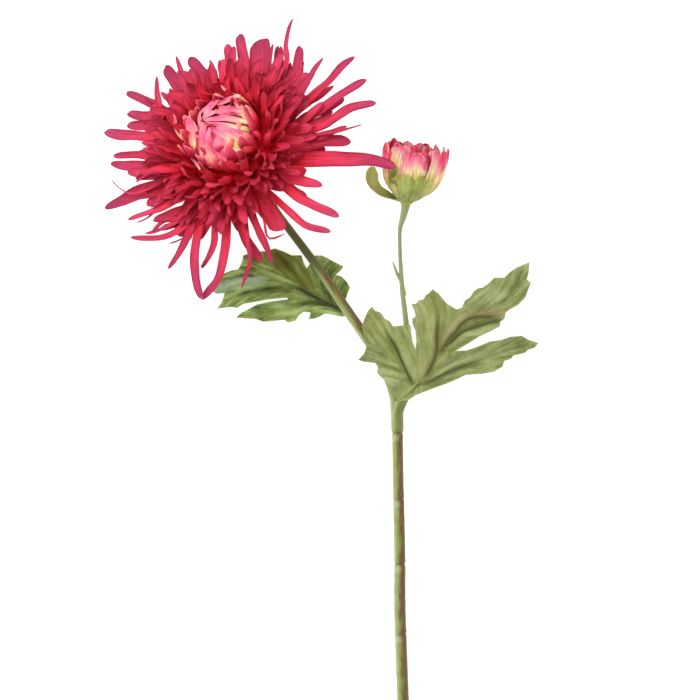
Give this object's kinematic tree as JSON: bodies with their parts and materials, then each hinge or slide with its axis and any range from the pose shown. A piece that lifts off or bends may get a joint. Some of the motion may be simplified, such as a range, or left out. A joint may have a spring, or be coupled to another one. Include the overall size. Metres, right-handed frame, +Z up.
{
  "type": "chrysanthemum flower stem",
  "caption": "Artificial chrysanthemum lying on its side: a spiky crimson bloom with a pale middle, a half-open bud and lobed leaves on a cut stem.",
  "frame": {"origin": "centre of the object's outline seen from above, on the surface it lies on", "axes": "+Z up from the surface, +Y along the stem from its cut end towards the bloom, +X towards the right-hand leaf"},
  "size_m": [0.2179, 0.3701, 0.0809],
  "materials": {
    "stem": "moulded plastic sheath, satin, green with a brown-purple streak",
    "leaf": "pressed polyester leaf, matt, veined",
    "calyx": "moulded plastic, satin",
    "crimson_petal": "dyed polyester, matt with a soft sheen",
    "pale_petal": "dyed polyester, cream shading to pink",
    "bud_petal": "dyed polyester, cream-green shading to pink at the tips"
  },
  "bodies": {
    "root": {"stem": "stem", "leaf_left": "leaf", "leaf_right": "leaf", "bloom_calyx": "calyx", "bloom_petals": "crimson_petal", "bloom_centre": "pale_petal", "bud_calyx": "calyx", "bud_petals": "bud_petal"}
  },
  "joints": []
}
